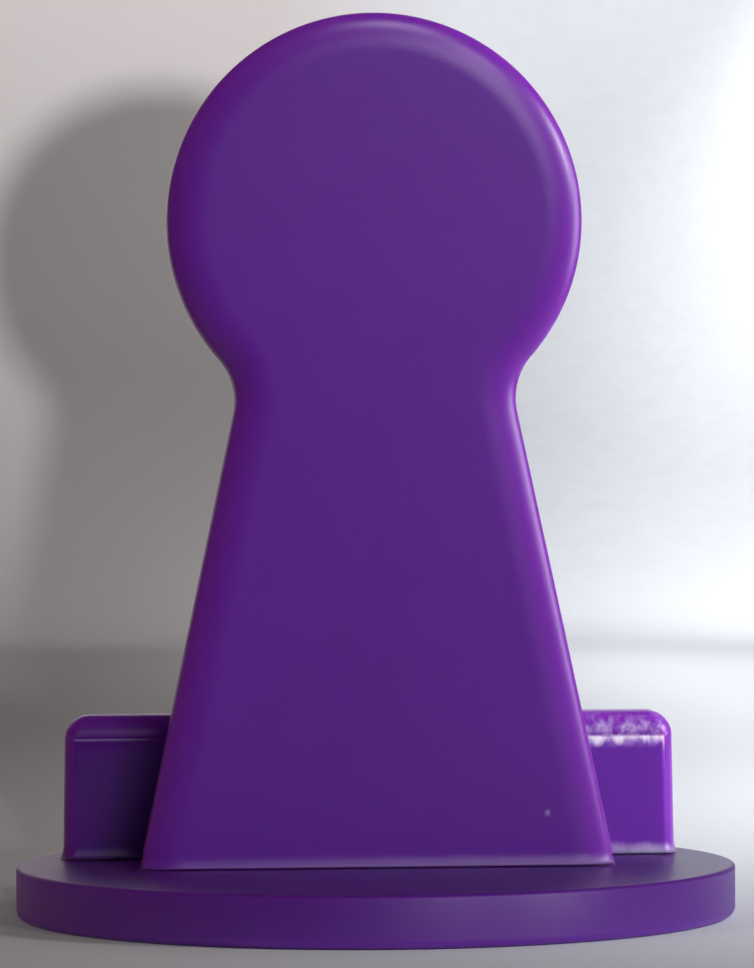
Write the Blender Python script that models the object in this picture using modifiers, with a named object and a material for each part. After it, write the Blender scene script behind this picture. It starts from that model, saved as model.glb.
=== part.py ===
"""Board game counter: a keyhole plate and a low card wall, both plugged into a round base.

Metres, +Z up. The origin is the middle of the base's underside, which rests on the board. The keyhole's
smooth face looks along -Y, and a picture card stands in the slot between the plate's back and the wall.
"""
import math

import bmesh
import bpy
from mathutils import Matrix, Vector

MM = 0.001

# Round base
BASE_DIAMETER = 24.0 * MM
BASE_THICKNESS = 1.7 * MM
BASE_TOP_ROUND = 0.12 * MM
BASE_FOOT_ROUND = 0.3 * MM

# Keyhole plate
COUNTER_HEIGHT = 30.0 * MM
HEAD_DIAMETER = 13.75 * MM
NECK_WIDTH = 8.9 * MM
NECK_FILLET = 2.1 * MM
FOOT_WIDTH = 15.75 * MM
PLATE_THICKNESS = 2.7 * MM
FACE_AHEAD_OF_MIDDLE = 2.2 * MM
FACE_ROLL_WIDTH = 1.3 * MM
FACE_ROLL_DEPTH = 0.55 * MM
BACK_ROUND = 0.4 * MM

# Card wall, set back from the plate by the card slot
SLOT_WIDTH = 1.75 * MM
WALL_HEIGHT = 4.85 * MM
WALL_THICKNESS = 2.0 * MM
WALL_TO_RIM = 0.72 * MM
WALL_DRAFT = math.radians(1.0)
WALL_CORNER = 0.85 * MM
WALL_ROLL_WIDTH = 0.75 * MM
WALL_ROLL_DEPTH = 0.6 * MM

# Flare where the uprights meet the base, and the tenons that hold them there
FLARE_HEIGHT = 0.5 * MM
FLARE_SPREAD = 0.13 * MM
TENON_WIDTH = 3.0 * MM
TENON_SHOULDER = 0.6 * MM
TENON_END_INSET = 1.6 * MM
SOCKET_FLOOR = 0.6 * MM
SEAT_GAP = 0.04 * MM

# Fineness of the round stretches
BASE_STEPS = 96
HEAD_STEPS = 36
CORNER_STEPS = 6
ROLL_STEPS = 5
FLARE_STEPS = 3
MERGE_DISTANCE = 0.001 * MM
SHARP_ANGLE = math.radians(35.0)

PLASTIC_PURPLE = (0.14, 0.02, 0.36, 1.0)
PLASTIC_ROUGHNESS = 0.32

# Places that follow from the sizes above
BASE_RADIUS = BASE_DIAMETER / 2
UPRIGHT_FOOT = BASE_THICKNESS + SEAT_GAP
TENON_LENGTH = UPRIGHT_FOOT - SOCKET_FLOOR - SEAT_GAP
PLATE_FRONT = -FACE_AHEAD_OF_MIDDLE
PLATE_BACK = PLATE_FRONT + PLATE_THICKNESS
PLATE_MIDDLE = (PLATE_FRONT + PLATE_BACK) / 2
WALL_FRONT = PLATE_BACK + SLOT_WIDTH
WALL_BACK = WALL_FRONT + WALL_THICKNESS
WALL_MIDDLE = (WALL_FRONT + WALL_BACK) / 2
WALL_HALF_WIDTH = math.sqrt((BASE_RADIUS - WALL_TO_RIM) ** 2 - WALL_BACK ** 2)


def clear_scene():
    for thing in list(bpy.data.objects):
        bpy.data.objects.remove(thing, do_unlink=True)


def new_collection(name):
    collection = bpy.data.collections.new(name)
    bpy.context.scene.collection.children.link(collection)
    return collection


def purple_plastic(name):
    material = bpy.data.materials.new(name)
    material.use_nodes = True
    shader = material.node_tree.nodes["Principled BSDF"]
    shader.inputs["Base Color"].default_value = PLASTIC_PURPLE
    shader.inputs["Roughness"].default_value = PLASTIC_ROUGHNESS
    shader.inputs["Metallic"].default_value = 0.0
    return material


def add_part(name, bm, collection, parent, place):
    """A finished sub-part: its mesh, its own plastic and its place on the counter."""
    mesh = bpy.data.meshes.new(name)
    bm.to_mesh(mesh)
    bm.free()
    mesh.shade_smooth()
    mesh.set_sharp_from_angle(angle=SHARP_ANGLE)
    part = bpy.data.objects.new(name, mesh)
    part.data.materials.append(purple_plastic(name + "_plastic"))
    part.location = place
    part.parent = parent
    collection.objects.link(part)
    return part


def add_block(name, collection, parent, size, middle):
    """A box that cuts a socket or adds a tenon, and isn't a part itself."""
    bm = bmesh.new()
    bmesh.ops.create_cube(bm, size=1.0, matrix=Matrix.Diagonal((*size, 1.0)))
    mesh = bpy.data.meshes.new(name)
    bm.to_mesh(mesh)
    bm.free()
    block = bpy.data.objects.new(name, mesh)
    block.location = middle
    block.parent = parent
    block.hide_render = True
    block.display_type = "WIRE"
    collection.objects.link(block)
    return block


def combine(part, block, operation):
    boolean = part.modifiers.new(block.name, "BOOLEAN")
    boolean.operation = operation
    boolean.solver = "EXACT"
    boolean.object = block


def arc(middle, radius, start, end, steps):
    """Points along an arc in the XZ plane, with both of its ends."""
    turn = (end - start) / steps
    angles = [start + turn * step for step in range(steps + 1)]
    return [middle + radius * Vector((math.cos(a), 0.0, math.sin(a))) for a in angles]


def angle_of(direction):
    """A direction's angle in the XZ plane, from 0 to a full turn."""
    return math.atan2(direction.z, direction.x) % math.tau


def mirrored(right_side):
    """A whole outline from its right side, whose point on the middle line isn't repeated."""
    left_side = [Vector((-p.x, p.y, p.z)) for p in reversed(right_side) if p.x > MERGE_DISTANCE]
    return right_side + left_side


def keyhole_outline():
    """Round head, filleted neck and straight flanks, seen from the front, foot at z = 0."""
    radius = HEAD_DIAMETER / 2
    head = Vector((0.0, 0.0, COUNTER_HEIGHT - UPRIGHT_FOOT - radius))
    drop = math.sqrt(radius ** 2 - (NECK_WIDTH / 2) ** 2)
    neck = Vector((NECK_WIDTH / 2, 0.0, head.z - drop))
    foot = Vector((FOOT_WIDTH / 2, 0.0, 0.0))
    up_flank = (neck - foot).normalized()
    outward = Vector((up_flank.z, 0.0, -up_flank.x))

    # The fillet touches the flank and the head, so its centre is one fillet radius off both.
    start = foot + NECK_FILLET * outward - head
    along = start.dot(up_flank)
    reach = radius + NECK_FILLET
    rise = -along - math.sqrt(along ** 2 - start.length_squared + reach ** 2)
    fillet = foot + NECK_FILLET * outward + rise * up_flank
    below_cut = foot - (FACE_ROLL_WIDTH + BACK_ROUND) * up_flank
    on_head = angle_of(fillet - head) - math.tau
    neck_arc = arc(fillet, NECK_FILLET, angle_of(-outward), angle_of(head - fillet), CORNER_STEPS)
    head_arc = arc(head, radius, on_head, math.pi / 2, HEAD_STEPS)
    return mirrored([below_cut] + neck_arc + head_arc[1:])


def wall_outline():
    """A low wall with rounded top corners and ends that lean in by the draft, foot at z = 0."""
    lean = math.tan(WALL_DRAFT)
    below_cut = Vector((WALL_HALF_WIDTH + WALL_ROLL_WIDTH * lean, 0.0, -WALL_ROLL_WIDTH))
    corner_height = WALL_HEIGHT - WALL_CORNER
    end_at_corner = WALL_HALF_WIDTH - corner_height * lean
    middle = Vector((end_at_corner - WALL_CORNER / math.cos(WALL_DRAFT), 0.0, corner_height))
    return mirrored([below_cut] + arc(middle, WALL_CORNER, WALL_DRAFT, math.pi / 2, CORNER_STEPS))


def roll_edge(bm, face, width, depth):
    """Round a cap's rim: insets that follow a quarter ellipse from the side up to the cap."""
    inset_so_far = 0.0
    rise_so_far = 0.0
    for step in range(1, ROLL_STEPS + 1):
        turn = step / ROLL_STEPS * math.pi / 2
        inset = width * (1.0 - math.cos(turn))
        rise = depth * math.sin(turn)
        bmesh.ops.inset_region(
            bm,
            faces=[face],
            thickness=inset - inset_so_far,
            depth=rise - rise_so_far,
            use_boundary=True,
            use_even_offset=True,
        )
        inset_so_far = inset
        rise_so_far = rise


def standing_slab(outline, thickness, front_roll, back_roll):
    """An upright slab about y = 0 with rolled edges, cut flat at its flared foot, z = 0.

    Each roll is a width and a depth.
    """
    bm = bmesh.new()
    front_rim = front_roll[1] - thickness / 2
    back_rim = thickness / 2 - back_roll[1]
    front = bm.faces.new([bm.verts.new((p.x, front_rim, p.z)) for p in outline])
    raised = bmesh.ops.extrude_face_region(bm, geom=[front], use_keep_orig=True)
    back = next(item for item in raised["geom"] if isinstance(item, bmesh.types.BMFace))
    bmesh.ops.translate(bm, verts=back.verts, vec=(0.0, back_rim - front_rim, 0.0))
    bmesh.ops.recalc_face_normals(bm, faces=bm.faces)
    roll_edge(bm, front, *front_roll)
    roll_edge(bm, back, *back_roll)

    everything = bm.verts[:] + bm.edges[:] + bm.faces[:]
    cut = bmesh.ops.bisect_plane(
        bm,
        geom=everything,
        dist=MERGE_DISTANCE,
        plane_co=(0.0, 0.0, FLARE_HEIGHT),
        plane_no=(0.0, 0.0, 1.0),
        clear_inner=True,
    )
    rim = [item for item in cut["geom_cut"] if isinstance(item, bmesh.types.BMEdge)]
    foot = bmesh.ops.contextual_create(bm, geom=rim)["faces"][0]
    flare_foot(bm, foot)
    bmesh.ops.recalc_face_normals(bm, faces=bm.faces)
    return bm


def flare_foot(bm, foot):
    """Lead the foot out to the base in a hollow quarter ellipse, down to z = 0."""
    half_width = max(vert.co.x for vert in foot.verts)
    half_depth = max(vert.co.y for vert in foot.verts)
    spread_so_far = 0.0
    height = FLARE_HEIGHT
    for step in range(1, FLARE_STEPS + 1):
        turn = step / FLARE_STEPS * math.pi / 2
        spread = FLARE_SPREAD * (1.0 - math.cos(turn))
        new_height = FLARE_HEIGHT * (1.0 - math.sin(turn))
        foot = bmesh.ops.extrude_discrete_faces(bm, faces=[foot])["faces"][0]
        wider = (half_width + spread) / (half_width + spread_so_far)
        deeper = (half_depth + spread) / (half_depth + spread_so_far)
        bmesh.ops.scale(bm, verts=foot.verts, vec=(wider, deeper, 1.0))
        bmesh.ops.translate(bm, verts=foot.verts, vec=(0.0, 0.0, new_height - height))
        spread_so_far = spread
        height = new_height


def round_base(collection, parent):
    """The disc: its profile from the middle of the top to the middle of the underside, turned."""
    top_round = Vector((BASE_RADIUS - BASE_TOP_ROUND, 0.0, BASE_THICKNESS - BASE_TOP_ROUND))
    foot_round = Vector((BASE_RADIUS - BASE_FOOT_ROUND, 0.0, BASE_FOOT_ROUND))
    profile = [Vector((0.0, 0.0, BASE_THICKNESS))]
    profile += arc(top_round, BASE_TOP_ROUND, math.pi / 2, 0.0, CORNER_STEPS)
    profile += arc(foot_round, BASE_FOOT_ROUND, 0.0, -math.pi / 2, CORNER_STEPS)
    profile += [Vector((0.0, 0.0, 0.0))]
    bm = bmesh.new()
    verts = [bm.verts.new(point) for point in profile]
    for upper, lower in zip(verts, verts[1:]):
        bm.edges.new((upper, lower))
    base = add_part("round_base", bm, collection, parent, (0.0, 0.0, 0.0))
    turn = base.modifiers.new("turned disc", "SCREW")
    turn.axis = "Z"
    turn.steps = BASE_STEPS
    turn.render_steps = BASE_STEPS
    turn.use_merge_vertices = True
    turn.merge_threshold = MERGE_DISTANCE
    return base


def keyhole_plate(collection, parent):
    front_roll = (FACE_ROLL_WIDTH, FACE_ROLL_DEPTH)
    back_roll = (BACK_ROUND, BACK_ROUND)
    bm = standing_slab(keyhole_outline(), PLATE_THICKNESS, front_roll, back_roll)
    return add_part("keyhole_plate", bm, collection, parent, (0.0, PLATE_MIDDLE, UPRIGHT_FOOT))


def card_wall(collection, parent):
    roll = (WALL_ROLL_WIDTH, WALL_ROLL_DEPTH)
    bm = standing_slab(wall_outline(), WALL_THICKNESS, roll, roll)
    return add_part("card_wall", bm, collection, parent, (0.0, WALL_MIDDLE, UPRIGHT_FOOT))


def plug_in(upright, base, blocks, parent, half_width, thickness):
    """Two tenons under an upright's foot, and the sockets in the base that take them."""
    tenon_thickness = thickness - 2 * TENON_SHOULDER
    tenon_x = half_width - TENON_END_INSET - TENON_WIDTH / 2
    root = FLARE_HEIGHT
    socket_length = BASE_THICKNESS - SOCKET_FLOOR
    above_base = SEAT_GAP
    for side, name in ((-1, "left"), (1, "right")):
        tenon_size = (TENON_WIDTH, tenon_thickness, TENON_LENGTH + root)
        tenon_middle = (side * tenon_x, upright.location.y, UPRIGHT_FOOT + (root - TENON_LENGTH) / 2)
        tenon = add_block(f"{upright.name}_{name}_tenon", blocks, parent, tenon_size, tenon_middle)
        combine(upright, tenon, "UNION")
        socket_size = (
            TENON_WIDTH + 2 * SEAT_GAP,
            tenon_thickness + 2 * SEAT_GAP,
            socket_length + above_base,
        )
        socket_middle = (side * tenon_x, upright.location.y, SOCKET_FLOOR + (socket_length + above_base) / 2)
        socket = add_block(f"{upright.name}_{name}_socket", blocks, parent, socket_size, socket_middle)
        combine(base, socket, "DIFFERENCE")


def build_counter():
    clear_scene()
    parts = new_collection("board_game_counter")
    blocks = new_collection("tenon_and_socket_blocks")
    counter = bpy.data.objects.new("counter", None)
    parts.objects.link(counter)
    base = round_base(parts, counter)
    plate = keyhole_plate(parts, counter)
    wall = card_wall(parts, counter)
    plug_in(plate, base, blocks, counter, FOOT_WIDTH / 2, PLATE_THICKNESS)
    plug_in(wall, base, blocks, counter, WALL_HALF_WIDTH, WALL_THICKNESS)


build_counter()
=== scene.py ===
# %% [markdown]
# # A board game counter in purple plastic
#
# The counter is three mouldings: a round base, an upright plate with a keyhole outline, and a low wall
# behind it. The slot between the plate and the wall takes a picture card. The imported model already has the
# three solids at their real size and place. This lesson models each moulding again with a finer surface,
# gives it a plastic that shows its moulding marks, a painted rim glow and painted highlights, and lights it
# like a small product photograph.

import math

import bmesh
import bpy
from mathutils import Matrix, Vector


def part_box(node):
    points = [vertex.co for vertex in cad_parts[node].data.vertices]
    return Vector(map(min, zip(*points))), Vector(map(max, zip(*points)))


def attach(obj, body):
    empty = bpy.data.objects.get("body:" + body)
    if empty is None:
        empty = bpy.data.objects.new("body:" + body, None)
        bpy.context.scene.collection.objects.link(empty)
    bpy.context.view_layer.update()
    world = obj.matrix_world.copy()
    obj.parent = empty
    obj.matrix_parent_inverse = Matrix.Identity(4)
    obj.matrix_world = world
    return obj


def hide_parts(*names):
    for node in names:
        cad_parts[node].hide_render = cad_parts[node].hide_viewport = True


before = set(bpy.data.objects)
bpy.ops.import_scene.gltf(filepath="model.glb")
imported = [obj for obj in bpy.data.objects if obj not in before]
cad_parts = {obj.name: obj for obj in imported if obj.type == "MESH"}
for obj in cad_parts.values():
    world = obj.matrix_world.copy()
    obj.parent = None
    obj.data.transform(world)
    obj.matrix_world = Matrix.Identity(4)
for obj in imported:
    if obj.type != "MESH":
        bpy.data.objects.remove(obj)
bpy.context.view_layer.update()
print("packed pieces:", sorted(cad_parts))

# %% [markdown]
# ## Sizes
#
# A visual piece has to lie where its solid lies, so most sizes are read from the boxes of the packed
# pieces. Only what a box can't tell is written down here: the seat gap, the flare at the foot of the
# uprights, the small tenons under them. They are real sizes in millimetres, turned into metres.

# %% Sizes from the frame, and the few that a box can't tell
MM = 0.001

base_high = Vector(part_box("round_base")[1])
plate_low, plate_high = (Vector(corner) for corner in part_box("keyhole_plate"))
wall_low, wall_high = (Vector(corner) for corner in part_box("card_wall"))

SEAT_GAP = 0.04 * MM
FLARE_HEIGHT = 0.5 * MM
FLARE_SPREAD = 0.13 * MM
BASE_RADIUS = base_high.x
BASE_TOP = base_high.z
UPRIGHT_FOOT = BASE_TOP + SEAT_GAP
TENON_WIDTH = 3.0 * MM
TENON_SHOULDER = 0.6 * MM
TENON_END_INSET = 1.6 * MM
TENON_BOTTOM = plate_low.z

print(f"base {BASE_RADIUS * 2 / MM:.2f} mm across, counter {plate_high.z / MM:.2f} mm tall")

# %% [markdown]
# ## Helpers
#
# Each outline is drawn with Blender's own operators: a single vertex is spun to leave an arc behind it, or
# extruded to leave a straight edge. That keeps every curve a true arc with as many points as it needs.
# Each point also carries three marks. `rim` says how far it lies round a rolled edge, `lip` how far it
# belongs to the top edge of the wall, and `foot` how far down the flare it lies. The plastic reads them
# later, because wear follows edges, and so do the painted rim glow and the painted highlights.

# %% Drawing with one vertex
QUARTER_TURN = math.pi / 2
MERGE_DISTANCE = 0.0005 * MM
BACKWARD = (0.0, 1.0, 0.0)
UPWARD = (0.0, 0.0, 1.0)


def marked_bmesh():
    """An empty bmesh whose points carry the three marks."""
    bm = bmesh.new()
    for mark in ("rim", "lip", "foot"):
        bm.verts.layers.float.new(mark)
    return bm


def only(items, kind):
    """The vertices, edges or faces among an operator's mixed results."""
    return [item for item in items if isinstance(item, kind)]


def swing(bm, vert, centre, angle, steps):
    """Spins a vertex round a centre, clockwise from the front, and returns the end of its arc."""
    spun = bmesh.ops.spin(
        bm, geom=[vert], cent=centre, axis=BACKWARD, angle=angle, steps=steps, use_duplicate=False
    )
    return only(spun["geom_last"], bmesh.types.BMVert)[0]


def draw_to(bm, vert, place):
    """Extrudes a vertex to a place and returns the vertex there."""
    end = bmesh.ops.extrude_vert_indiv(bm, verts=[vert])["verts"][0]
    bmesh.ops.translate(bm, verts=[end], vec=Vector(place) - end.co)
    return end


def turn_round(bm, steps):
    """Spins everything drawn so far a full turn round the upright axis, and closes it."""
    drawn = bm.verts[:] + bm.edges[:]
    bmesh.ops.spin(
        bm, geom=drawn, axis=UPWARD, angle=math.tau, steps=steps, use_merge=True, use_duplicate=False
    )


# %% Turning a finished bmesh into a piece that stands for a CAD node
SHARP_ANGLE = math.radians(40.0)


def smooth_object(bm, name):
    """An object at the origin with the faces of a bmesh, turned outwards and shaded smooth."""
    bmesh.ops.recalc_face_normals(bm, faces=bm.faces)
    mesh = bpy.data.meshes.new(name)
    bm.to_mesh(mesh)
    bm.free()
    mesh.shade_smooth()
    thing = bpy.data.objects.new(name, mesh)
    bpy.context.scene.collection.objects.link(thing)
    return thing


def finish_piece(bm, name, node):
    """A piece that rides with the counter and stands for its solid."""
    piece = smooth_object(bm, name)
    piece.data.set_sharp_from_angle(angle=SHARP_ANGLE)
    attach(piece, "root")
    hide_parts(node)
    print(f"{name}: {len(piece.data.polygons)} faces, {len(piece.data.vertices)} points")
    return piece


# %% [markdown]
# ## Rolled edges
#
# A moulded plate has no sharp rim. The face curves over into the side, and that curve is what catches the
# light and draws the outline in a photograph. A bevel would round the rim with one radius, but the roll here
# is wider than it is deep, so the cap is inset in small steps instead, each a little further in and up
# along a quarter of an ellipse. A last flat inset keeps the shading of the cap from bending.

# %% Insets that follow a profile
FLAT_MARGIN = 0.05 * MM


def quarter_roll(width, depth, steps):
    """Insets and rises along a quarter ellipse, from the side of a plate over to its face."""
    turns = [step / steps * QUARTER_TURN for step in range(1, steps + 1)]
    return [(width * (1 - math.cos(turn)), depth * math.sin(turn)) for turn in turns]


def inset_cap(bm, face, inset, rise):
    """Insets a cap once and moves it out along its normal."""
    bmesh.ops.inset_region(
        bm, faces=[face], thickness=inset, depth=rise, use_boundary=True, use_even_offset=True
    )


def follow(bm, face, profile):
    """Insets a cap along a profile of (inset, rise), and marks each ring with its place on the roll."""
    rim = bm.verts.layers.float["rim"]
    for vert in face.verts:
        vert[rim] = 1.0
    inset_so_far = 0.0
    rise_so_far = 0.0
    for inset, rise in profile:
        inset_cap(bm, face, inset - inset_so_far, rise - rise_so_far)
        for vert in face.verts:
            vert[rim] = 1.0 - inset / profile[-1][0]
        inset_so_far = inset
        rise_so_far = rise
    inset_cap(bm, face, FLAT_MARGIN, 0.0)


# %% [markdown]
# The wall's rim needs more. It has a crease along the top but not down the ends, and it is narrower there.
# So its rings are laid down as one plain roll, each ring is widened to make the ends' share of the roll
# narrow, and at last only the points along the top are moved to the creased profile, with a fade round the
# corners. Both profiles share their insets, so no ring is added or lost.

# %% Insets that differ between the top and the ends
SAME_WAY = 0.999


def follow_lipped(bm, face, profile, lip_rises, side_share, corner_middle, corner_radius):
    """Follows a profile that is narrower down the sides, and that rises otherwise along the top.

    The two rounded top corners become points once they are used up. Round them the top's own rises fade
    out, so that a crease along the top ends in the corners.
    """
    rim = bm.verts.layers.float["rim"]
    lip = bm.verts.layers.float["lip"]
    outwards = face.normal.copy()
    for vert in face.verts:
        vert[rim] = 1.0
    half_width = max(vert.co.x for vert in face.verts)
    full_inset = profile[-1][0]
    inset_so_far = 0.0
    rise_so_far = 0.0
    for inset, rise in profile:
        if inset_so_far < corner_radius <= inset:
            reach = corner_middle.x + (1 - side_share) * inset_so_far
            for x in (-reach, reach):
                centre = Vector((x, 0.0, corner_middle.z))
                face = close_corner(bm, face, centre, corner_radius - inset_so_far)
        inset_cap(bm, face, inset - inset_so_far, rise - rise_so_far)
        wanted = half_width - side_share * inset
        reached = half_width - side_share * inset_so_far - (inset - inset_so_far)
        bmesh.ops.scale(bm, verts=face.verts, vec=(wanted / reached, 1.0, 1.0))
        top = max(vert.co.z for vert in face.verts)
        corner_left = max(corner_radius - inset, MERGE_DISTANCE)
        for vert in face.verts:
            vert[rim] = 1.0 - inset / full_inset
            vert[lip] = max(0.0, 1.0 - (top - vert.co.z) / corner_left)
        inset_so_far = inset
        rise_so_far = rise
    inset_cap(bm, face, FLAT_MARGIN, 0.0)
    for vert in [vert for vert in bm.verts if vert[lip] > 0.0]:
        way_in = (1.0 - vert[rim]) * full_inset
        ring = min(range(len(profile)), key=lambda step: abs(profile[step][0] - way_in))
        lift = vert[lip] * (lip_rises[ring] - profile[ring][1])
        bmesh.ops.translate(bm, verts=[vert], vec=lift * outwards)


def close_corner(bm, face, centre, radius_left):
    """Merges what is left of a rounded corner into one point, and returns the cap's new face."""
    normal = face.normal.copy()
    middle = Vector((centre.x, face.verts[0].co.y, centre.z))
    near = [vert for vert in face.verts if (vert.co - middle).length < radius_left + FLAT_MARGIN]
    bmesh.ops.pointmerge(bm, verts=near, merge_co=middle)
    bm.normal_update()
    facing = [cap for cap in bm.faces if cap.normal.dot(normal) > SAME_WAY]
    return max(facing, key=lambda cap: cap.calc_area())


# %% [markdown]
# ## An upright with a foot
#
# The plate and the wall are made the same way: an outline is filled, extruded to its thickness, rolled at
# both faces, cut level at the foot, flared out to the base and given two tenons. Cutting the foot after
# the rolls matters, because the rolled rim then runs straight down into the base, as it does on the
# moulding, and doesn't turn in along the bottom edge.

# %% From half an outline to a slab with rolled rims
def close_outline(bm):
    """Mirrors the drawn right half and joins the two lowest points."""
    bmesh.ops.mirror(bm, geom=bm.verts[:] + bm.edges[:], axis="X", merge_dist=MERGE_DISTANCE)
    lowest = min(vert.co.z for vert in bm.verts)
    ends = [vert for vert in bm.verts if vert.co.z - lowest < MERGE_DISTANCE]
    bmesh.ops.contextual_create(bm, geom=ends)


def slab_from_outline(bm, front, back, front_depth, back_profile):
    """Fills the drawn outline and thickens it, with a rolled rim at the back, and returns the front."""
    outline = bmesh.ops.edgeloop_fill(bm, edges=bm.edges)["faces"][0]
    if outline.normal.y > 0:
        outline.normal_flip()
    front_rim = front + front_depth
    back_rim = back - back_profile[-1][1]
    bmesh.ops.translate(bm, verts=outline.verts, vec=(0.0, front_rim, 0.0))
    grown = bmesh.ops.extrude_face_region(bm, geom=[outline], use_keep_orig=True)
    back_face = only(grown["geom"], bmesh.types.BMFace)[0]
    bmesh.ops.translate(bm, verts=back_face.verts, vec=(0.0, back_rim - front_rim, 0.0))
    bmesh.ops.recalc_face_normals(bm, faces=bm.faces)
    follow(bm, back_face, back_profile)
    return outline


# %% A level cut and a flare down to the base
FOOT_STEPS = 6


def cut(bm, geom, place, normal, clear_inner=False):
    """Slices through some geometry and returns the edges along the cut."""
    sliced = bmesh.ops.bisect_plane(
        bm, geom=geom, dist=MERGE_DISTANCE, plane_co=place, plane_no=normal, clear_inner=clear_inner
    )
    return only(sliced["geom_cut"], bmesh.types.BMEdge)


def flare_foot(bm, middle_y):
    """Cuts the upright level and leads its foot out to the base in a hollow quarter ellipse."""
    foot_layer = bm.verts.layers.float["foot"]
    everything = bm.verts[:] + bm.edges[:] + bm.faces[:]
    top_of_flare = (0.0, 0.0, UPRIGHT_FOOT + FLARE_HEIGHT)
    cut_edges = cut(bm, everything, top_of_flare, UPWARD, clear_inner=True)
    foot = bmesh.ops.contextual_create(bm, geom=cut_edges)["faces"][0]
    half_width = max(vert.co.x for vert in foot.verts)
    half_depth = max(vert.co.y for vert in foot.verts) - middle_y
    to_middle = Matrix.Translation((0.0, -middle_y, 0.0))
    spread_so_far = 0.0
    height = FLARE_HEIGHT
    for step in range(1, FOOT_STEPS + 1):
        turn = step / FOOT_STEPS * QUARTER_TURN
        spread = FLARE_SPREAD * (1 - math.cos(turn))
        new_height = FLARE_HEIGHT * (1 - math.sin(turn))
        foot = bmesh.ops.extrude_discrete_faces(bm, faces=[foot])["faces"][0]
        wider = (half_width + spread) / (half_width + spread_so_far)
        deeper = (half_depth + spread) / (half_depth + spread_so_far)
        bmesh.ops.scale(bm, verts=foot.verts, vec=(wider, deeper, 1.0), space=to_middle)
        bmesh.ops.translate(bm, verts=foot.verts, vec=(0.0, 0.0, new_height - height))
        for vert in foot.verts:
            vert[foot_layer] = math.sin(turn)
        spread_so_far = spread
        height = new_height


# %% [markdown]
# ## Tenons and sockets
#
# The uprights plug into the base with two short tenons each. They are hidden once the counter is together,
# but a moulding without them couldn't be put together. A flat face is scored with straight cuts where the
# tenons stand, and the pieces of the face between the cuts are extruded: down for a tenon, and down into the
# base for its socket, which is wider by the seat gap all round.

# %% Score a flat face and extrude its pads
RIGHTWARD = (1.0, 0.0, 0.0)


def is_level(face, height):
    """Whether a whole face lies at one height."""
    return all(abs(vert.co.z - height) < MERGE_DISTANCE for vert in face.verts)


def pads_in(bm, height, pads):
    """Scores the level faces at a height round each pad, and returns the faces inside the pads."""
    for left, right, front, back in pads:
        lines = [((x, 0.0, 0.0), RIGHTWARD) for x in (left, right)]
        lines += [((0.0, y, 0.0), BACKWARD) for y in (front, back)]
        for place, normal in lines:
            level = [face for face in bm.faces if is_level(face, height)]
            edges = {edge for face in level for edge in face.edges}
            verts = {vert for face in level for vert in face.verts}
            cut(bm, level + list(edges) + list(verts), place, normal)
    middles = [(face, face.calc_center_median()) for face in bm.faces if is_level(face, height)]
    return [
        face
        for face, middle in middles
        for left, right, front, back in pads
        if left < middle.x < right and front < middle.y < back
    ]


def push(bm, faces, depth):
    """Extrudes faces straight down by a depth."""
    grown = bmesh.ops.extrude_face_region(bm, geom=faces)
    bmesh.ops.delete(bm, geom=faces, context="FACES_ONLY")
    moved = only(grown["geom"], bmesh.types.BMVert)
    bmesh.ops.translate(bm, verts=moved, vec=(0.0, 0.0, -depth))


# %% Tenons under an upright
def tenon_pads(half_width, front, back, clearance):
    """The left, right, front and back of each tenon under an upright, grown by a clearance."""
    inner = half_width - TENON_END_INSET - TENON_WIDTH - clearance
    outer = half_width - TENON_END_INSET + clearance
    near = front + TENON_SHOULDER - clearance
    far = back - TENON_SHOULDER + clearance
    return [(-outer, -inner, near, far), (inner, outer, near, far)]


def add_foot(bm, half_width, front, back):
    """Flares the foot of an upright and gives it its two tenons."""
    flare_foot(bm, (front + back) / 2)
    pads = pads_in(bm, UPRIGHT_FOOT, tenon_pads(half_width, front, back, 0.0))
    push(bm, pads, UPRIGHT_FOOT - TENON_BOTTOM)


PLATE_FRONT = plate_low.y + FLARE_SPREAD
PLATE_BACK = plate_high.y - FLARE_SPREAD
WALL_FRONT = wall_low.y + FLARE_SPREAD
WALL_BACK = wall_high.y - FLARE_SPREAD
print(f"card slot {(WALL_FRONT - PLATE_BACK) / MM:.2f} mm wide")

# %% [markdown]
# ## The keyhole plate
#
# The plate is a round head on a body with straight flanks, joined by a small fillet at each side of the
# neck. The head's vertex is spun from the top down to where the fillet takes over, then spun the other way
# round the fillet's centre, then drawn straight to below the foot. Half is enough: the mirror operator makes
# the other side and merges the point at the top.

# %% Where the neck fillet touches the head and the flank
HEAD_RADIUS = 6.875 * MM
NECK_HALF = 4.45 * MM
NECK_FILLET = 2.1 * MM
PLATE_FOOT_HALF = 7.875 * MM

head_middle = Vector((0.0, 0.0, plate_high.z - HEAD_RADIUS))
neck = head_middle + Vector((NECK_HALF, 0.0, -math.sqrt(HEAD_RADIUS**2 - NECK_HALF**2)))
flank_foot = Vector((PLATE_FOOT_HALF, 0.0, UPRIGHT_FOOT))
up_flank = (neck - flank_foot).normalized()
outward = Vector((up_flank.z, 0.0, -up_flank.x))
offset = flank_foot + NECK_FILLET * outward - head_middle
along = offset.dot(up_flank)
reach = HEAD_RADIUS + NECK_FILLET
rise = -along - math.sqrt(along**2 - offset.length_squared + reach**2)
fillet_middle = head_middle + offset + rise * up_flank
below_level = math.atan2(head_middle.z - fillet_middle.z, fillet_middle.x)
flank_lean = math.atan2(-up_flank.x, up_flank.z)
print(f"flanks lean {math.degrees(flank_lean):.1f} degrees")

# %% Draw the right half, mirror it and close the foot
HEAD_STEPS = 110
FILLET_STEPS = 24
OUTLINE_OVERRUN = 2.0 * MM

plate = marked_bmesh()
tip = plate.verts.new((0.0, 0.0, plate_high.z))
tip = swing(plate, tip, head_middle, QUARTER_TURN + below_level, HEAD_STEPS)
tip = swing(plate, tip, fillet_middle, -(below_level + flank_lean), FILLET_STEPS)
draw_to(plate, tip, flank_foot - OUTLINE_OVERRUN * up_flank)
close_outline(plate)
print("outline points:", len(plate.verts))

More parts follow.
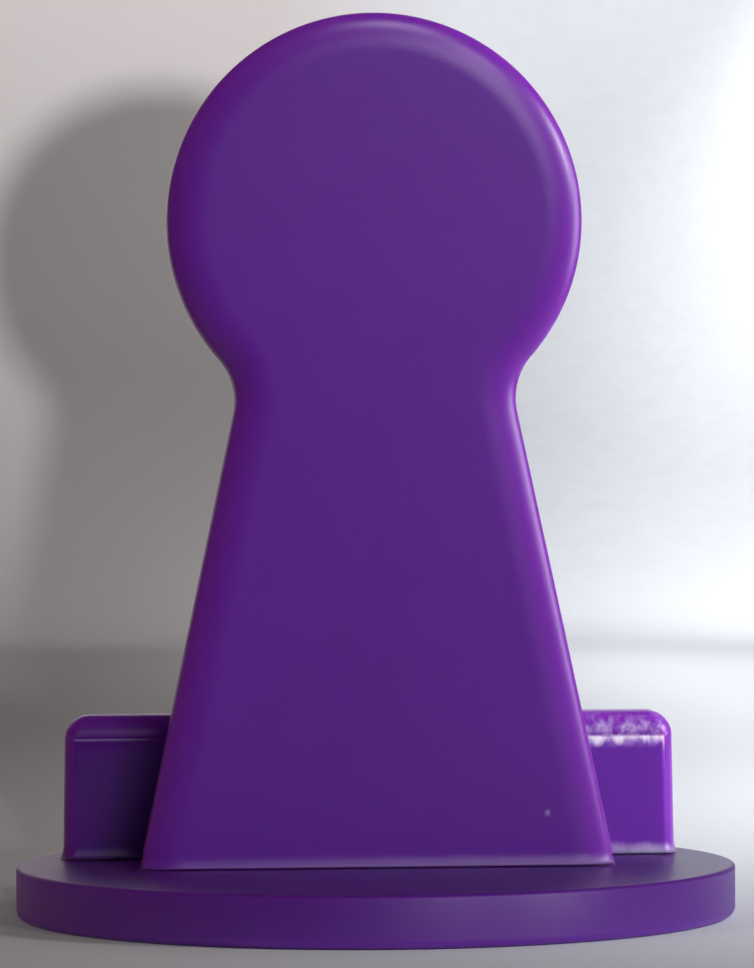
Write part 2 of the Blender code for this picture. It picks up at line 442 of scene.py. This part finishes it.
# %% Thicken, roll, flare and plug
FACE_ROLL = (1.3 * MM, 0.55 * MM)
BACK_ROLL = (0.4 * MM, 0.4 * MM)
FRONT_STEPS = 20
BACK_STEPS = 10

plate_back_roll = quarter_roll(*BACK_ROLL, BACK_STEPS)
plate_face = slab_from_outline(plate, PLATE_FRONT, PLATE_BACK, FACE_ROLL[1], plate_back_roll)
follow(plate, plate_face, quarter_roll(*FACE_ROLL, FRONT_STEPS))
add_foot(plate, PLATE_FOOT_HALF, PLATE_FRONT, PLATE_BACK)
keyhole_plate = finish_piece(plate, "keyhole_plate_moulding", "keyhole_plate")

# %% [markdown]
# ## The card wall
#
# The wall behind the plate is a low block whose ends lean in a little, so that it leaves its mould. Along
# its top the rounded rim stops at a fine crease, and a second soft shoulder leads from the crease into the
# face. Down the two ends the rim is a plain, narrower roll. A crease cut into a finished block would end
# abruptly at the corners, so the rim is built with two profiles that have the same insets, as above.

# %% The wall's two profiles
WALL_ROLL = (0.75 * MM, 0.6 * MM)
WALL_STEPS = 16
CREASE_WIDTH = 0.07 * MM
CREASE_DEPTH = 0.02 * MM
SHOULDER_WIDTH = 0.42 * MM
SHOULDER_RISE = 0.09 * MM
SHOULDER_STEPS = 12


def bordered_roll():
    """A rolled rim, a crease and a soft shoulder, ending level with the wall's face."""
    width, depth = WALL_ROLL
    far_side = width + CREASE_WIDTH
    rim = quarter_roll(width, depth, WALL_STEPS)
    crease = [(width + CREASE_WIDTH / 2, depth - CREASE_DEPTH), (far_side, depth)]
    shares = [step / SHOULDER_STEPS for step in range(1, SHOULDER_STEPS + 1)]
    shoulder = [(SHOULDER_WIDTH * share, SHOULDER_RISE * (1 - (1 - share) ** 2)) for share in shares]
    return rim + crease + [(far_side + inset, depth + rise) for inset, rise in shoulder]


def plain_roll(insets, depth):
    """One quarter ellipse that rises to a depth over the same insets."""
    ways_left = [1 - inset / insets[-1] for inset in insets]
    return [(inset, depth * math.sqrt(1 - left**2)) for inset, left in zip(insets, ways_left)]


lip_insets, lip_rises = zip(*bordered_roll())
wall_roll = plain_roll(lip_insets, lip_rises[-1])
print(f"wall rim {lip_insets[-1] / MM:.2f} mm wide along the top")

# %% Draw the wall's outline
WALL_HALF = wall_high.x - FLARE_SPREAD
WALL_DRAFT = math.radians(1.0)
WALL_CORNER = 0.85 * MM
CORNER_STEPS = 20
CREASE_FADE = 0.9 * MM

wall_corner_height = wall_high.z - WALL_CORNER
wall_lean = math.tan(WALL_DRAFT)
end_at_corner = WALL_HALF - (wall_corner_height - UPRIGHT_FOOT) * wall_lean
corner_middle = Vector((end_at_corner - WALL_CORNER / math.cos(WALL_DRAFT), 0.0, wall_corner_height))
down_the_end = Vector((wall_lean, 0.0, -1.0))

wall = marked_bmesh()
tip = wall.verts.new(corner_middle + Vector((0.0, 0.0, WALL_CORNER)))
tip = swing(wall, tip, corner_middle, QUARTER_TURN - WALL_DRAFT, CORNER_STEPS)
tip = draw_to(wall, tip, tip.co + CREASE_FADE * down_the_end)
draw_to(wall, tip, Vector((WALL_HALF, 0.0, UPRIGHT_FOOT)) + OUTLINE_OVERRUN * down_the_end)
close_outline(wall)
highest = [vert for vert in wall.verts if wall_high.z - vert.co.z < MERGE_DISTANCE]
bmesh.ops.contextual_create(wall, geom=highest)
print("outline points:", len(wall.verts))

# %% Thicken, roll, flare and plug the wall
SIDE_SHARE = 0.36

wall_back_roll = quarter_roll(*WALL_ROLL, WALL_STEPS)
wall_face = slab_from_outline(wall, WALL_FRONT, WALL_BACK, lip_rises[-1], wall_back_roll)
follow_lipped(wall, wall_face, wall_roll, lip_rises, SIDE_SHARE, corner_middle, WALL_CORNER)
add_foot(wall, WALL_HALF, WALL_FRONT, WALL_BACK)
card_wall = finish_piece(wall, "card_wall_moulding", "card_wall")

# %% [markdown]
# ## The round base
#
# The base is a turned disc: a crisp, barely broken top edge and a softer one underneath, so that it slides
# over a board. Its rim is drawn as a profile and spun a full turn. The flat faces inside the rim are filled
# afterwards as two clean discs, which shade flatter than a fan of thin triangles would, and the top one can
# then be scored for the four sockets. The side is marked as `rim` all over, because handling has left it
# duller than the top.

# %% Spin the rim and fill the two discs
BASE_TOP_ROUND = 0.12 * MM
BASE_FOOT_ROUND = 0.3 * MM
BASE_STEPS = 288
BASE_ROUND_STEPS = 8

base = marked_bmesh()
top_edge = BASE_RADIUS - BASE_TOP_ROUND
foot_edge = BASE_RADIUS - BASE_FOOT_ROUND
top_round_middle = (top_edge, 0.0, BASE_TOP - BASE_TOP_ROUND)
foot_round_middle = (foot_edge, 0.0, BASE_FOOT_ROUND)
tip = base.verts.new((top_edge - FLAT_MARGIN, 0.0, BASE_TOP))
tip = draw_to(base, tip, (top_edge, 0.0, BASE_TOP))
tip = swing(base, tip, top_round_middle, QUARTER_TURN, BASE_ROUND_STEPS)
tip = draw_to(base, tip, (BASE_RADIUS, 0.0, BASE_FOOT_ROUND))
tip = swing(base, tip, foot_round_middle, QUARTER_TURN, BASE_ROUND_STEPS)
draw_to(base, tip, (foot_edge - FLAT_MARGIN, 0.0, 0.0))
turn_round(base, BASE_STEPS)
open_edges = [edge for edge in base.edges if edge.is_boundary]
bmesh.ops.holes_fill(base, edges=open_edges, sides=0)
side_mark = base.verts.layers.float["rim"]
for vert in base.verts:
    vert[side_mark] = float(vert.co.z < BASE_TOP - MERGE_DISTANCE)
print("base rim faces:", len(base.faces))

# %% Cut the four sockets
SOCKET_FLOOR = 0.6 * MM

socket_pads = tenon_pads(PLATE_FOOT_HALF, PLATE_FRONT, PLATE_BACK, SEAT_GAP)
socket_pads += tenon_pads(WALL_HALF, WALL_FRONT, WALL_BACK, SEAT_GAP)
push(base, pads_in(base, BASE_TOP, socket_pads), BASE_TOP - SOCKET_FLOOR)
round_base = finish_piece(base, "round_base_moulding", "round_base")

# %% [markdown]
# ## Writing shaders as sums
#
# A plastic is mostly arithmetic on noise: a little darker here, a little rougher there. The class below
# wraps a node's output so that Python's own operators add the Math nodes, and one method adds any other node.

# %% One small class for shader maths
class Shade:
    """An output socket of a material, with operators that add Math nodes."""

    def __init__(self, tree, socket=None):
        self.tree = tree
        self.socket = socket

    def node(self, kind, settings=None, inputs=None, output=0):
        """Adds a node, sets its settings, then its sockets, and returns one of its outputs."""
        node = self.tree.nodes.new(kind)
        for key, value in (settings or {}).items():
            setattr(node, key, value)
        for key, value in (inputs or {}).items():
            if isinstance(value, Shade):
                self.tree.links.new(value.socket, node.inputs[key])
            else:
                node.inputs[key].default_value = value
        return Shade(self.tree, node.outputs[output])

    def math(self, operation, first, second):
        return self.node("ShaderNodeMath", {"operation": operation}, {0: first, 1: second})

    def __add__(self, other):
        return self.math("ADD", self, other)

    def __radd__(self, other):
        return self.math("ADD", other, self)

    def __sub__(self, other):
        return self.math("SUBTRACT", self, other)

    def __rsub__(self, other):
        return self.math("SUBTRACT", other, self)

    def __mul__(self, other):
        return self.math("MULTIPLY", self, other)

    def __rmul__(self, other):
        return self.math("MULTIPLY", other, self)


# %% Patterns that a material can be made of
PER_MM = 1.0 / MM
NOISE_ROUGHNESS = 0.55


def speckle(start, coordinates, per_mm, detail=2.0, stretch=(1.0, 1.0, 1.0)):
    """Noise with a given number of grains per millimetre, stretched if its grain has a direction."""
    placed = start.node("ShaderNodeMapping", {}, {"Vector": coordinates, "Scale": stretch})
    settings = {"noise_dimensions": "3D"}
    sockets = {"Vector": placed, "Scale": per_mm * PER_MM, "Detail": detail, "Roughness": NOISE_ROUGHNESS}
    return start.node("ShaderNodeTexNoise", settings, sockets)


def rising(start, value, low, high):
    """0 up to the low value, 1 from the high value on, and a straight line between them."""
    return start.node("ShaderNodeMapRange", {}, {"Value": value, "From Min": low, "From Max": high})


def at_least(pattern, least):
    """A pattern from 0 to 1, lifted so that it starts from its least value."""
    return pattern * (1 - least) + least


def blend(start, share, first, second):
    """One colour turning into another as the share goes from 0 to 1."""
    sockets = {"Factor": share, "A": first, "B": second}
    return start.node("ShaderNodeMix", {"data_type": "RGBA"}, sockets, output=2)


def mark(start, name):
    """One of the marks that the points of a piece carry."""
    return start.node("ShaderNodeAttribute", {"attribute_name": name}, output="Fac")


# %% [markdown]
# ## Purple plastic
#
# The counter is dyed through and a little translucent, so light that enters near a rim comes out again and
# the rim glows; on the uprights that glow is also painted in, as a redder purple along the rims. The colour
# itself barely varies: a soft cloudiness from the melt and a fine mottle. What tells it from a flat colour is
# its surface: a slight grain left by the mould, handling marks that change the gloss, rims that are rubbed
# paler, and one small fleck. Three pale marks are painted highlights: a frayed line at the foot of each
# upright, paler toward the lit right, and pale spots along the wall's rolled top and streaks that run down
# from its crease, both on the wall's lit right end only. A picture could show all that from one side only, so
# it is made of noise and of the marks on the points. The noise reads Object coordinates in metres, so a
# scale of 1000 is one step per millimetre.

# %% Colours and grains of the plastic
DEEP_PURPLE = (0.146, 0.017, 0.36, 1.0)
MAIN_PURPLE = (0.184, 0.022, 0.44, 1.0)
# A painted glow: the rims of the uprights are tinted toward this redder purple, as if lit through.
PAINTED_GLOW_PURPLE = (0.26, 0.024, 0.47, 1.0)
RUBBED_VIOLET = (0.27, 0.08, 0.52, 1.0)
# Painted highlights at the feet of the uprights and along the wall's top, and the one real fleck.
HIGHLIGHT_AND_FLECK_LILAC = (0.42, 0.28, 0.60, 1.0)
# Painted highlight streaks below the wall's crease.
PAINTED_HIGHLIGHT_WHITE = (0.74, 0.66, 0.80, 1.0)

CLOUDS_PER_MM = 0.16
MARKS_PER_MM = 0.55
STREAKS_PER_MM = 1.7
MOTTLES_PER_MM = 3.2
GRAINS_PER_MM = 9.0
UP_AND_DOWN = (1.0, 1.0, 0.16)
CLOUD_SHARE = 0.6

# %% Where wear, painted glow and painted highlights start and where they are full
PATCHES = (0.40, 0.62)
SPOTS = (0.40, 0.62)
LEFT_TO_RIGHT = (-4.0 * MM, 8.0 * MM)
ALONG_TOP = (0.5, 1.0)
FRAYED = (0.65, 1.15)
FRAY_LENGTH = 0.9
LEAST_PATCH = 0.4
LEAST_HIGHLIGHT_AT_LEFT = 0.1
CREASE = (0.36, 0.335)
ABOVE_FACE = (0.0, 0.06)
DOWN_FROM_CREASE = (0.335, 0.0)
DRIPS = (0.40, 0.58)
DRIP_FADE = 0.3
LIT_EDGE = (0.0, 0.9)
RUB_SHARE = 0.4
FLECK_PLACE = Vector((5.55, PLATE_FRONT / MM, 3.45)) * MM
FLECK_RADIUS = 0.14 * MM
FLECK_SHARE = 0.6


def highlight_below_crease(start, rim, streaks, lit_right_top):
    """Painted highlight streaks that start at the crease and run down a little into the face."""
    below_crease = rising(start, rim, *CREASE) * rising(start, rim, *ABOVE_FACE) * lit_right_top
    way_down = rising(start, rim, *DOWN_FROM_CREASE)
    return rising(start, streaks - way_down * DRIP_FADE, *DRIPS) * below_crease


def fleck_on_plate(start, place):
    """One small round spot low on the plate's face."""
    ends = {0: place, 1: FLECK_PLACE}
    away = start.node("ShaderNodeVectorMath", {"operation": "DISTANCE"}, ends, output="Value")
    return rising(start, away, FLECK_RADIUS, FLECK_RADIUS / 3)


# %% One plastic, with a few amounts that differ between the mouldings
MARK_GLOSS = 0.06
FOOT_LINE_GLOSS = 0.12
GRAIN_HEIGHT = 0.5
MARK_HEIGHT = 0.6
FOOT_LINE_HEIGHT = 2.0
FLECK_HEIGHT = 4.0
BUMP_UNIT = 0.004 * MM
PLASTIC_IOR = 1.5
GLOW_COLOURS = (1.0, 0.3, 0.75)
GLOW_DEPTH = 1.5 * MM


def purple_plastic(name, roughness, side_roughness, painted_glow_and_rub, foot_highlight_amount, lip_marks):
    """Dyed plastic with mould grain, handling marks, rubbed rims, painted rim glow and painted highlights."""
    material = bpy.data.materials.new(name)
    material.use_nodes = True
    tree = material.node_tree
    shader = tree.nodes["Principled BSDF"]
    start = Shade(tree)
    place = start.node("ShaderNodeTexCoord", output="Object")
    across = start.node("ShaderNodeSeparateXYZ", {}, {"Vector": place}, output="X")
    rim = mark(start, "rim")
    foot = mark(start, "foot")

    cloud = speckle(start, place, CLOUDS_PER_MM)
    mottle = speckle(start, place, MOTTLES_PER_MM, detail=3.0)
    marks = speckle(start, place, MARKS_PER_MM, detail=4.0)
    streaks = speckle(start, place, STREAKS_PER_MM, detail=3.0, stretch=UP_AND_DOWN)
    fine_grain = speckle(start, place, GRAINS_PER_MM)

    # Painted highlights are strongest toward the lit right and fade out on the shaded left.
    toward_lit_right = rising(start, across, *LEFT_TO_RIGHT)
    lit_right_top = rising(start, mark(start, "lip"), *ALONG_TOP) * toward_lit_right
    # The frayed foot line is a painted highlight, paler toward the lit right; it is also made rougher and
    # raised.
    frayed = rising(start, foot + streaks * FRAY_LENGTH, *FRAYED)
    patches = at_least(rising(start, marks, *PATCHES), LEAST_PATCH)
    foot_highlight = frayed * patches * at_least(toward_lit_right, LEAST_HIGHLIGHT_AT_LEFT)
    # Painted highlight spots along the rolled top of the wall, on its lit right end only.
    lip = 4 * rim * (1 - rim) * lit_right_top
    fleck = fleck_on_plate(start, place)
    # Painted highlight streaks that run down from the crease, on the wall's lit right end.
    crease_highlight = highlight_below_crease(start, rim, streaks, lit_right_top)
    pale = foot_highlight * foot_highlight_amount + fleck * FLECK_SHARE + lip * rising(start, mottle, *SPOTS)

    melt = cloud * CLOUD_SHARE + mottle * (1 - CLOUD_SHARE)
    purple = blend(start, melt, DEEP_PURPLE, MAIN_PURPLE)
    # Painted glow: rolled rims turn a redder purple, standing in for light shining through them.
    with_painted_glow = blend(start, rising(start, rim, *LIT_EDGE) * painted_glow_and_rub, purple, PAINTED_GLOW_PURPLE)
    worn = blend(start, rim * rim * streaks * painted_glow_and_rub * RUB_SHARE, with_painted_glow, RUBBED_VIOLET)
    with_highlights_and_fleck = blend(start, pale, worn, HIGHLIGHT_AND_FLECK_LILAC)
    with_crease_highlight = blend(start, crease_highlight, with_highlights_and_fleck, PAINTED_HIGHLIGHT_WHITE)
    tree.links.new(with_crease_highlight.socket, shader.inputs["Base Color"])

    gloss = roughness + rim * (side_roughness - roughness) + (marks - 0.5) * MARK_GLOSS
    tree.links.new((gloss + foot_highlight * FOOT_LINE_GLOSS).socket, shader.inputs["Roughness"])

    height = fine_grain * GRAIN_HEIGHT + marks * MARK_HEIGHT + lip * streaks * lip_marks
    height = height + foot_highlight * FOOT_LINE_HEIGHT + fleck * FLECK_HEIGHT
    sockets = {"Strength": 1.0, "Distance": BUMP_UNIT, "Height": height}
    bump = start.node("ShaderNodeBump", {}, sockets)
    tree.links.new(bump.socket, shader.inputs["Normal"])

    shader.inputs["IOR"].default_value = PLASTIC_IOR
    shader.inputs["Subsurface Weight"].default_value = 1.0
    shader.inputs["Subsurface Radius"].default_value = GLOW_COLOURS
    shader.inputs["Subsurface Scale"].default_value = GLOW_DEPTH
    return material


# %% Plastic for each moulding
UPRIGHT_GLOSS = {"roughness": 0.31, "side_roughness": 0.295, "painted_glow_and_rub": 0.6}
BASE_GLOSS = {"roughness": 0.37, "side_roughness": 0.43, "painted_glow_and_rub": 0.0}

plate_plastic = purple_plastic("satin_purple_plastic", foot_highlight_amount=0.25, lip_marks=0.0, **UPRIGHT_GLOSS)
wall_plastic = purple_plastic("streaked_purple_plastic", foot_highlight_amount=1.2, lip_marks=16.0, **UPRIGHT_GLOSS)
base_plastic = purple_plastic("polished_purple_plastic", foot_highlight_amount=0.0, lip_marks=0.0, **BASE_GLOSS)
keyhole_plate.data.materials.append(plate_plastic)
card_wall.data.materials.append(wall_plastic)
round_base.data.materials.append(base_plastic)
print("plastics:", [material.name for material in bpy.data.materials if material.users])

# %% [markdown]
# ## The stage
#
# A pale round bowl stands in for a studio sweep: a flat floor that curves up on every side. From any angle
# the counter is seen against the same plain surface, and no edge of the floor shows. A flat backdrop would
# do for one view only.

# %% A round bowl
FLOOR_RADIUS = 260 * MM
BOWL_CURVE = 200 * MM
BOWL_RISE = 260 * MM
BOWL_STEPS = 96
BOWL_CURVE_STEPS = 24

bowl = bmesh.new()
tip = bowl.verts.new((0.0, 0.0, 0.0))
tip = draw_to(bowl, tip, (FLOOR_RADIUS, 0.0, 0.0))
tip = swing(bowl, tip, (FLOOR_RADIUS, 0.0, BOWL_CURVE), -QUARTER_TURN, BOWL_CURVE_STEPS)
draw_to(bowl, tip, (FLOOR_RADIUS + BOWL_CURVE, 0.0, BOWL_CURVE + BOWL_RISE))
turn_round(bowl, BOWL_STEPS)
bmesh.ops.remove_doubles(bowl, verts=bowl.verts, dist=MERGE_DISTANCE)
studio_bowl = smooth_object(bowl, "studio_bowl")
print("bowl faces:", len(studio_bowl.data.polygons))

# %% [markdown]
# ## Card for the bowl
#
# The bowl is pale matt card with painted shade in tones that run into each other: greyer to the left of the
# line of sight, darker close to the left of the counter, and darker in front. Where it rises behind the
# counter it shows a faint paper grain. Lamps make most of the change from side to side, and the painted shade
# makes what lamps can't without a hard edge of light across the floor.

# %% Pale card with painted shade
PALE_CARD = (0.71, 0.75, 0.79, 1.0)
# The grey and shaded cards are painted shade on the left and the front card is painted shade in front; the grey
# also colours the paper grain.
SHADE_AND_GRAIN_GREY = (0.62, 0.58, 0.57, 1.0)
SHADED_CARD = (0.40, 0.365, 0.35, 1.0)
FRONT_SHADE_CARD = (0.20, 0.20, 0.21, 1.0)
DIM_TO_PALE = (-75 * MM, 5 * MM)
SHADED_TO_GREY = (40 * MM, 220 * MM)
LEFT_TO_RIGHT_CARD = (-12 * MM, 12 * MM)
FLOOR_TO_WALL = (FLOOR_RADIUS - BOWL_CURVE / 8, FLOOR_RADIUS + BOWL_CURVE / 4)
SIGHT_TURN = 3.72
PAPER_GRAINS_PER_MM = 0.35
PAPER_GRAIN = (0.40, 0.65)
PAPER_SHARE = 0.14
CARD_ROUGHNESS = 0.9

pale_card = bpy.data.materials.new("pale_card")
pale_card.use_nodes = True
card_shader = pale_card.node_tree.nodes["Principled BSDF"]
card_shader.inputs["Roughness"].default_value = CARD_ROUGHNESS
card = Shade(pale_card.node_tree)
card_place = card.node("ShaderNodeTexCoord", output="Object")
card_x = card.node("ShaderNodeSeparateXYZ", {}, {"Vector": card_place}, output="X")
card_y = card.node("ShaderNodeSeparateXYZ", {}, {"Vector": card_place}, output="Y")
from_sight = card_x - card_y * math.tan(math.radians(SIGHT_TURN))
# Painted shade: greyer left of the line of sight, darker near the counter on the left and in front.
left_shade = blend(card, rising(card, card_y, *SHADED_TO_GREY), SHADED_CARD, SHADE_AND_GRAIN_GREY)
side_tone = blend(card, rising(card, from_sight, *LEFT_TO_RIGHT_CARD), left_shade, PALE_CARD)
card_tone = blend(card, rising(card, card_y, *DIM_TO_PALE), FRONT_SHADE_CARD, side_tone)
paper_grain = rising(card, speckle(card, card_place, PAPER_GRAINS_PER_MM, detail=4.0), *PAPER_GRAIN)
on_wall = rising(card, card_y, *FLOOR_TO_WALL)
paper = blend(card, paper_grain * on_wall * PAPER_SHARE, card_tone, SHADE_AND_GRAIN_GREY)
pale_card.node_tree.links.new(paper.socket, card_shader.inputs["Base Color"])
studio_bowl.data.materials.append(pale_card)
print("card nodes:", len(pale_card.node_tree.nodes))

# %% [markdown]
# ## Light and camera
#
# The light comes from the right and a little above, which draws the pale crescent on the head's upper right
# and the bright line down the right flank, and leaves the left side in shade. Plate, wall and base each turn
# another face to the camera, so one lamp for all would be right for one of them and wrong for the others.
# Lamps are therefore linked to the pieces that they light. A broad warm glow from the left lifts the shaded
# sides and isn't mirrored in them.

# %% Making a light, placing it and linking it
DAYLIGHT = (1.0, 0.98, 1.0)
WARM_LIGHT = (1.0, 0.60, 0.45)


def soft_light(name, place, aim, size, watts, spread=180.0, length=None, colour=DAYLIGHT):
    """A round or long light at a place, turned to its aim, with its beam as wide as the spread."""
    data = bpy.data.lights.new(name, "AREA")
    data.shape = "ELLIPSE"
    data.size = length or size
    data.size_y = size
    data.energy = watts
    data.spread = math.radians(spread)
    data.color = colour
    light = bpy.data.objects.new(name, data)
    light.location = place
    light.rotation_euler = (Vector(aim) - Vector(place)).to_track_quat("-Z", "Y").to_euler()
    light.visible_camera = False
    bpy.context.scene.collection.objects.link(light)
    return light


def around(azimuth, elevation, distance):
    """A place seen from the counter's middle: degrees to the right of the front, degrees up, and how far."""
    turn = math.radians(azimuth)
    lift = math.radians(elevation)
    level = distance * math.cos(lift)
    way = Vector((level * math.sin(turn), -level * math.cos(turn), distance * math.sin(lift)))
    return MIDDLE + way


def shine_on(name, pieces, lights):
    """Lets some lights reach only the named pieces."""
    reached = bpy.data.collections.new(name)
    for piece in pieces:
        reached.objects.link(piece)
    for light in lights:
        light.light_linking.receiver_collection = reached
    print(f"{name}: {len(lights)} lights")


# %% Lights for the counter
MIDDLE = Vector((0.0, 0.0, plate_high.z / 2))
LAMP_SIZE = 30 * MM
STUDIO = 380 * MM

upright_lights = [
    soft_light("near_lamp", around(75, 8, 66 * MM), MIDDLE, LAMP_SIZE, watts=0.0129),
    soft_light("high_near_lamp", around(85, 20, 100 * MM), MIDDLE, LAMP_SIZE, watts=0.0085),
    soft_light("side_lamp", around(62, 24, 140 * MM), head_middle, LAMP_SIZE, watts=0.0043, spread=44.0),
    soft_light("haze", around(16, 19, STUDIO), MIDDLE, 130 * MM, watts=0.21),
    soft_light("crescent_lamp", around(28, 35, 180 * MM), MIDDLE, 35 * MM, watts=0.0263),
    soft_light("rear_panel", around(150, 35, STUDIO), MIDDLE, 250 * MM, watts=0.02),
]
plate_light = soft_light("plate_lamp", around(12, 50, STUDIO), MIDDLE, 100 * MM, watts=0.21)
ear_light = soft_light("ear_lamp", around(50, 24, STUDIO), MIDDLE, 120 * MM, watts=0.80)
base_lights = [
    soft_light("base_haze", around(20, 5, STUDIO), MIDDLE, 80 * MM, watts=0.36),
    soft_light("base_lamp", around(52, 4, 250 * MM), MIDDLE, 40 * MM, watts=0.13),
]
glow = soft_light("warm_glow", around(-95, 14, STUDIO), MIDDLE, 250 * MM, watts=0.26, colour=WARM_LIGHT)
glow.visible_glossy = False

shine_on("lit_uprights", [keyhole_plate, card_wall], upright_lights)
shine_on("lit_plate", [keyhole_plate], [plate_light])
shine_on("lit_wall", [card_wall], [ear_light])
shine_on("lit_base", [round_base], base_lights)
shine_on("lit_counter", [round_base, keyhole_plate, card_wall], [glow])

# %% [markdown]
# ## Light on the bowl
#
# The bowl has lights of its own. A small lamp just behind the camera, a little to its right, throws the
# counter's shadow on the wall to the left. Two lights brighten the wall at the right, four tubes over the floor
# keep it as pale as the wall, and two weak lights fill the floor in front. One broad light reaches all of it.

# %% Lights for the bowl
def at(x, y, z):
    """A place in millimetres."""
    return Vector((x, y, z)) * MM


SHADOW_LAMP = at(0.12, -186.7, 14.7)
SHADOW_AIM = SHADOW_LAMP + Vector((0.0, 1.0, 0.36))
SHADOW_LAMP_SIZE = 3 * MM
TUBE = 20 * MM

stage_lights = [
    soft_light("shadow_lamp", SHADOW_LAMP, SHADOW_AIM, SHADOW_LAMP_SIZE, watts=0.463, spread=50.0),
    soft_light("room", around(30, 30, STUDIO), MIDDLE, 100 * MM, watts=0.21),
    soft_light("high_wall_light", at(300, 200, 300), at(90, 420, 60), 50 * MM, watts=0.055, spread=44.0),
    soft_light("low_wall_light", at(160, 245, 60), at(45, 285, 2), TUBE, watts=0.011, spread=44.0),
    soft_light("far_tube", at(90, 220, 90), at(60, 220, 0), TUBE, watts=0.047, spread=60.0, length=440 * MM),
    soft_light("near_tube", at(50, 120, 35), at(30, 120, 0), TUBE, watts=0.0185, spread=80.0, length=260 * MM),
    soft_light("side_tube", at(60, 55, 50), at(30, 50, 0), TUBE, watts=0.003, spread=90.0, length=100 * MM),
    soft_light("close_tube", at(60, 40, 30), at(25, 35, 0), TUBE, watts=0.0055, spread=100.0, length=60 * MM),
    soft_light("front_light", at(100, -60, 60), at(0, -20, 0), LAMP_SIZE, watts=0.0195, spread=90.0),
    soft_light("left_fill", at(-80, -50, 50), at(-16, -8, 0), LAMP_SIZE, watts=0.0016, spread=40.0),
]
shine_on("lit_stage", [studio_bowl], stage_lights)

# %% Air and view
AIR_COLOUR = (0.95, 0.96, 1.0, 1.0)
AIR_STRENGTH = 0.01

world = bpy.data.worlds.new("studio_air")
bpy.context.scene.world = world
world.use_nodes = True
air = world.node_tree.nodes["Background"]
air.inputs["Color"].default_value = AIR_COLOUR
air.inputs["Strength"].default_value = AIR_STRENGTH
bpy.context.scene.view_settings.view_transform = "Standard"
print("view transform:", bpy.context.scene.view_settings.view_transform)

# %% Camera at the photograph's angle
IMAGE_WIDTH = 754
IMAGE_HEIGHT = 968
FOCAL_PIXELS = 4487.5
SENSOR = 36.0
CAMERA_PLACE = at(-9.63, -149.96, 14.385)
CAMERA_TURN = (90.0, 0.33, -SIGHT_TURN)

camera_data = bpy.data.cameras.new("camera")
camera_data.sensor_width = SENSOR
camera_data.lens = FOCAL_PIXELS * SENSOR / max(IMAGE_WIDTH, IMAGE_HEIGHT)
camera_data.clip_start = 1.0 * MM
camera = bpy.data.objects.new("camera", camera_data)
camera.location = CAMERA_PLACE
camera.rotation_euler = [math.radians(angle) for angle in CAMERA_TURN]
bpy.context.scene.collection.objects.link(camera)
bpy.context.scene.camera = camera
print(f"lens {camera_data.lens:.1f} mm")
